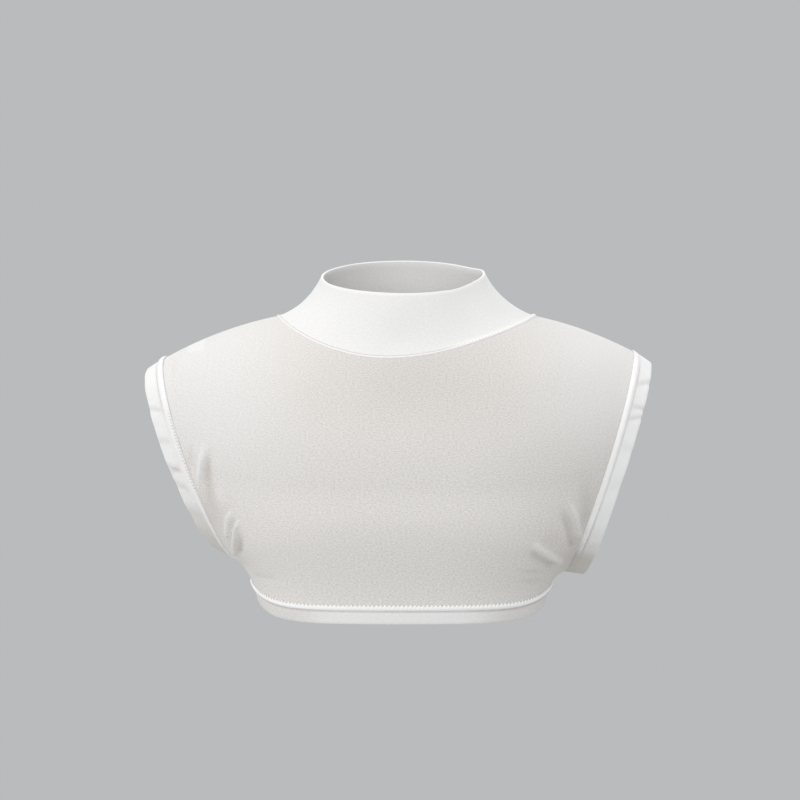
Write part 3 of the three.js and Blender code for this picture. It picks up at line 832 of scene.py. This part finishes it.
def makeCollar(name):
    front = neckPlaces("front", collar["frontStations"])
    back = neckPlaces("back", collar["backStations"])[1:-1]
    stations, length = seamStations(front + back[::-1], lambda point: Vector((-point.x, -point.y, 0)))
    collar["width"] = max((station["base"] - rimPoint(station["base"])).length for station in stations)
    pitch = length / round(length / collar["stitchPitch"])
    for station in stations:
        rim = rimPoint(station["base"])
        inward = Vector((-rim.x / garment["rimWidth"] ** 2, -rim.y / garment["rimDepth"] ** 2, 0))
        inward = inward.normalized() * collar["rimLean"]
        reach = (rim - station["base"]).length * collar["curveLength"]
        leave = station["onward"].normalized() * reach
        arrive = (inward + Vector((0, 0, 1))).normalized() * reach
        station["curve"] = (station["base"], station["base"] + leave / 3, rim - arrive / 3, rim)
        station["dash"] = 0.5 + 0.5 * math.cos(2 * math.pi * station["length"] / pitch)

    def path(station, along):
        share = along / collar["width"]
        a, b, c, d = station["curve"]
        rest = 1 - share
        point = a * rest ** 3 + b * (3 * share * rest ** 2) + c * (3 * share ** 2 * rest) + d * share ** 3
        slope = (b - a) * rest ** 2 + (c - b) * (2 * share * rest) + (d - c) * share ** 2
        return point, bandNormal(station, slope.normalized(), share)

    def relief(station, along):
        fine = collar["fineWidth"]
        line = collar["fineLine"] * bump(along - fine, fine)
        line -= collar["fineGroove"] * bump(along - collar["grooveStep"] * fine, fine)
        fadeStart = collar["secondEnd"] - collar["secondFade"]
        leftShare = 1 - smooth(station["base"].x, fadeStart, collar["secondEnd"])
        dashed = 1 - collar["stitchShare"] * station["dash"]
        line += leftShare * dashed * collar["secondLift"] * bump(along - collar["secondLine"], fine)
        ridge = seamRoll(collar, along, collar["ridge"]) * dashed
        outward = smooth(abs(station["base"].x - garment["neckShift"]), collar["endNear"], collar["endFar"])
        end = seamRoll(collar, along, collar["endBump"]) * outward
        return garment["faceLift"] + end + lerp(line, ridge, rightShare(station))

    def rightShare(station):
        return smooth(station["base"].x, collar["ridgeStart"], collar["ridgeFull"])

    # Painted highlights on the raised line, ridge and rim, painted shade in the groove and between the
    # dashes
    def tone(station, along):
        fine = collar["fineWidth"]
        line = collar["linePaintedHighlight"] * bump(along - fine, fine)
        line -= collar["groovePaintedShade"] * bump(along - collar["grooveStep"] * fine, fine)
        ridge = collar["ridgePaintedHighlight"] * seamRoll(collar, along, 1)
        ridge *= 1 - collar["dashPaintedShade"] * station["dash"]
        atRim = smooth(along, collar["width"] - collar["rimReach"], collar["width"])
        return collar["flatTone"] + lerp(line, ridge, rightShare(station)) + collar["rimPaintedHighlight"] * atRim

    def wave(station, along):
        point, _ = path(station, along)
        lift = collar["ripple"] * noise.noise(point / collar["rippleSize"])
        return lift * smooth(along, collar["rippleNear"], collar["rippleFar"])

    shape = {"edge": lambda station: -collar["overlap"], "path": path, "relief": relief, "wave": wave,
             "tone": tone}
    return makeBand(name, collar, stations, length, shape)


# Knit grain: V-shaped stitches and a soft mottle, on the cloth's own map in metres
knitGrain = {
    "wales": 1100, "courses": 1400, "streaks": 400, "streakSquash": 2.1,
    "wanderScale": 420, "wander": 3.0,
    "mottleDetail": 3, "mottleRoughness": 0.75, "mottleLow": 0.36, "mottleHigh": 0.64,
}


def buildKnitGroup():
    group = bpy.data.node_groups.new("knitGrain", "ShaderNodeTree")
    face = group.interface
    face.new_socket("Vector", in_out="INPUT", socket_type="NodeSocketVector")
    for label in ("Wales", "Courses", "Streaks"):
        socket = face.new_socket(label, in_out="INPUT", socket_type="NodeSocketFloat")
        socket.default_value = knitGrain[label.lower()]
    for label in ("Height", "Mottle"):
        face.new_socket(label, in_out="OUTPUT", socket_type="NodeSocketFloat")
    nodes, links = group.nodes, group.links
    given = nodes.new("NodeGroupInput")
    result = nodes.new("NodeGroupOutput")

    def mathNode(operation, first, second=None):
        node = nodes.new("ShaderNodeMath")
        node.operation = operation
        for socket, value in zip(node.inputs, (first, second)):
            if value is None:
                continue
            if isinstance(value, (int, float)):
                socket.default_value = value
            else:
                links.new(value, socket)
        return node.outputs[0]

    split = nodes.new("ShaderNodeSeparateXYZ")
    links.new(given.outputs["Vector"], split.inputs[0])
    wander = nodes.new("ShaderNodeTexNoise")
    wander.inputs["Scale"].default_value = knitGrain["wanderScale"]
    links.new(given.outputs["Vector"], wander.inputs["Vector"])
    drift = mathNode("MULTIPLY", mathNode("SUBTRACT", wander.outputs["Fac"], 0.5), knitGrain["wander"])
    wale = mathNode("ADD", mathNode("MULTIPLY", split.outputs["X"], given.outputs["Wales"]), drift)
    course = mathNode("ADD", mathNode("MULTIPLY", split.outputs["Y"], given.outputs["Courses"]), drift)
    leg = mathNode("MULTIPLY", mathNode("PINGPONG", wale, 0.5), 2)
    legHeight = mathNode("SINE", mathNode("MULTIPLY", leg, math.pi))
    slant = mathNode("ADD", course, mathNode("MULTIPLY", leg, 0.5))
    loop = mathNode("MULTIPLY_ADD", mathNode("SINE", mathNode("MULTIPLY", slant, 2 * math.pi)), 0.5)
    loop.node.inputs[2].default_value = 0.5
    links.new(mathNode("MULTIPLY", legHeight, loop), result.inputs["Height"])

    stretch = nodes.new("ShaderNodeCombineXYZ")
    links.new(mathNode("MULTIPLY", split.outputs["X"], given.outputs["Streaks"]), stretch.inputs["X"])
    rows = mathNode("MULTIPLY", given.outputs["Streaks"], knitGrain["streakSquash"])
    links.new(mathNode("MULTIPLY", split.outputs["Y"], rows), stretch.inputs["Y"])
    mottle = nodes.new("ShaderNodeTexNoise")
    mottle.inputs["Scale"].default_value = 1
    mottle.inputs["Detail"].default_value = knitGrain["mottleDetail"]
    mottle.inputs["Roughness"].default_value = knitGrain["mottleRoughness"]
    links.new(stretch.outputs[0], mottle.inputs["Vector"])
    sharp = nodes.new("ShaderNodeMapRange")
    sharp.inputs["From Min"].default_value = knitGrain["mottleLow"]
    sharp.inputs["From Max"].default_value = knitGrain["mottleHigh"]
    links.new(mottle.outputs["Fac"], sharp.inputs["Value"])
    links.new(sharp.outputs["Result"], result.inputs["Mottle"])
    return group


knitGroup = buildKnitGroup()

cloths = {
    "body_jersey": {
        "light": (0.850, 0.815, 0.785), "dark": (0.655, 0.620, 0.585),
        "whiteAndPaintedLight": (0.90, 0.895, 0.90), "shade": (0.735, 0.710, 0.680),
        "roughness": 0.92, "sheen": 0.15, "specular": 0.25, "relief": 0.00022, "strength": 0.3,
        "wales": 1100, "courses": 1400, "streaks": 460,
    },
    "folded_jersey": {
        "light": (0.853, 0.835, 0.823), "dark": (0.771, 0.755, 0.743),
        "whiteAndPaintedLight": (0.96, 0.944, 0.937), "shade": (0.72, 0.69, 0.64),
        "roughness": 0.88, "sheen": 0.15, "specular": 0.25, "relief": 0.00018, "strength": 0.2,
        "wales": 1200, "courses": 1500, "streaks": 300,
    },
}


def clothMaterial(name):
    look = cloths[name]
    material = bpy.data.materials.new(name)
    material.use_nodes = True
    nodes, links = material.node_tree.nodes, material.node_tree.links

    def mixTowards(colourName, factor, blend="MIX"):
        node = nodes.new("ShaderNodeMix")
        node.data_type = "RGBA"
        node.blend_type = blend
        node.inputs["B"].default_value = (*look[colourName], 1)
        links.new(factor, node.inputs["Factor"])
        return node

    shader = nodes["Principled BSDF"]
    shader.inputs["Roughness"].default_value = look["roughness"]
    shader.inputs["Sheen Weight"].default_value = look["sheen"]
    shader.inputs["Specular IOR Level"].default_value = look["specular"]
    clothMap = nodes.new("ShaderNodeUVMap")
    clothMap.uv_map = "Cloth"
    knit = nodes.new("ShaderNodeGroup")
    knit.node_tree = knitGroup
    for label in ("Wales", "Courses", "Streaks"):
        knit.inputs[label].default_value = look[label.lower()]
    links.new(clothMap.outputs["UV"], knit.inputs["Vector"])
    grain = mixTowards("light", knit.outputs["Mottle"])
    grain.inputs["A"].default_value = (*look["dark"], 1)
    # The Tone attribute mixes towards the white colour for whiter cloth and for painted highlights and
    # painted light, and multiplies by the shade colour for painted shade
    lean = nodes.new("ShaderNodeAttribute")
    lean.attribute_name = "Tone"
    whiter = mixTowards("whiteAndPaintedLight", lean.outputs["Fac"])
    links.new(grain.outputs["Result"], whiter.inputs["A"])
    sink = nodes.new("ShaderNodeMath")
    sink.operation = "MULTIPLY"
    sink.use_clamp = True
    sink.inputs[1].default_value = -1
    links.new(lean.outputs["Fac"], sink.inputs[0])
    darker = mixTowards("shade", sink.outputs[0], "MULTIPLY")
    links.new(whiter.outputs["Result"], darker.inputs["A"])
    links.new(darker.outputs["Result"], shader.inputs["Base Color"])
    bumpNode = nodes.new("ShaderNodeBump")
    bumpNode.inputs["Strength"].default_value = look["strength"]
    bumpNode.inputs["Distance"].default_value = look["relief"]
    links.new(knit.outputs["Height"], bumpNode.inputs["Height"])
    links.new(bumpNode.outputs["Normal"], shader.inputs["Normal"])
    return material


materials = {name: clothMaterial(name) for name in cloths}
print("Materials made")


# Each piece takes the place of one solid, and wears the cloth that its slot names
def finishPiece(piece, clothName, nodeName):
    piece.data.materials.append(materials[clothName])
    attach(piece, "root")
    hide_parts(nodeName)
    return piece


collarPiece = finishPiece(makeCollar("stand_collar"), "folded_jersey", "collar")
print("Collar made")
frontPiece = finishPiece(makePanel("front_body", "front"), "body_jersey", "front_panel")
backPiece = finishPiece(makePanel("back_body", "back"), "body_jersey", "back_panel")
print("Body panels made")
armLeft = finishPiece(makeArmBand("arm_band_left", "left"), "folded_jersey", "armhole_band_left")
armRight = finishPiece(makeArmBand("arm_band_right", "right"), "folded_jersey", "armhole_band_right")
print("Arm bands made")
hemPiece = finishPiece(makeHemBand("hem_fold"), "folded_jersey", "hem_band")
print("Hem made")

# Pale floor, soft light and the camera
studio = {
    "floorRadius": 2.4, "floorHeight": -1.0, "floorSegments": 96,
    "floorColour": (0.52, 0.53, 0.535, 1), "floorRoughness": 0.9,
    "worldColour": (0.485, 0.497, 0.503, 1), "worldStrength": 1.34,
    "lights": tableRows("name place size power", [
        ("left", (-2.6, -1.4, 0.9), 1.6, 22.5),
        ("top", (-0.3, 0.0, 2.4), 1.8, 12.2),
        ("topRight", (1.2, -0.6, 2.2), 1.6, 14.7),
        ("low", (-0.6, -2.6, -0.7), 1.6, 15.5),
        ("behind", (0.4, 2.7, 0.7), 1.8, 22),
    ]),
    "aim": (0, 0, -0.1),
    "camera": (-0.0018, -1.8, -0.0756), "lens": 90, "sensor": 36,
}


def makeStudio():
    floor = bmesh.new()
    bmesh.ops.create_circle(floor, cap_ends=True, segments=studio["floorSegments"],
                             radius=studio["floorRadius"])
    bmesh.ops.translate(floor, verts=floor.verts, vec=(0, 0, studio["floorHeight"]))
    mesh = bpy.data.meshes.new("floor")
    floor.to_mesh(mesh)
    floor.free()
    floorPiece = bpy.data.objects.new("floor", mesh)
    scene.collection.objects.link(floorPiece)
    paint = bpy.data.materials.new("pale_floor")
    paint.use_nodes = True
    shader = paint.node_tree.nodes["Principled BSDF"]
    shader.inputs["Base Color"].default_value = studio["floorColour"]
    shader.inputs["Roughness"].default_value = studio["floorRoughness"]
    mesh.materials.append(paint)

    world = bpy.data.worlds.new("studio")
    world.use_nodes = True
    background = world.node_tree.nodes["Background"]
    background.inputs["Color"].default_value = studio["worldColour"]
    path = world.node_tree.nodes.new("ShaderNodeLightPath")
    strength = world.node_tree.nodes.new("ShaderNodeMapRange")
    strength.inputs["To Min"].default_value = studio["worldStrength"]
    strength.inputs["To Max"].default_value = 1
    world.node_tree.links.new(path.outputs["Is Camera Ray"], strength.inputs["Value"])
    world.node_tree.links.new(strength.outputs["Result"], background.inputs["Strength"])
    scene.world = world

    aim = Vector(studio["aim"])
    for row in studio["lights"]:
        light = bpy.data.lights.new(row["name"], "AREA")
        light.shape = "SQUARE"
        light.size = row["size"]
        light.energy = row["power"]
        lamp = bpy.data.objects.new(row["name"], light)
        lamp.location = row["place"]
        lamp.rotation_mode = "QUATERNION"
        lamp.rotation_quaternion = (aim - lamp.location).to_track_quat("-Z", "Y")
        scene.collection.objects.link(lamp)

    camera = bpy.data.cameras.new("camera")
    camera.lens = studio["lens"]
    camera.sensor_width = studio["sensor"]
    eye = bpy.data.objects.new("camera", camera)
    eye.location = studio["camera"]
    eye.rotation_euler = (math.pi / 2, 0, 0)
    scene.collection.objects.link(eye)
    scene.camera = eye
    scene.view_settings.view_transform = "Standard"


makeStudio()
print("Studio made")
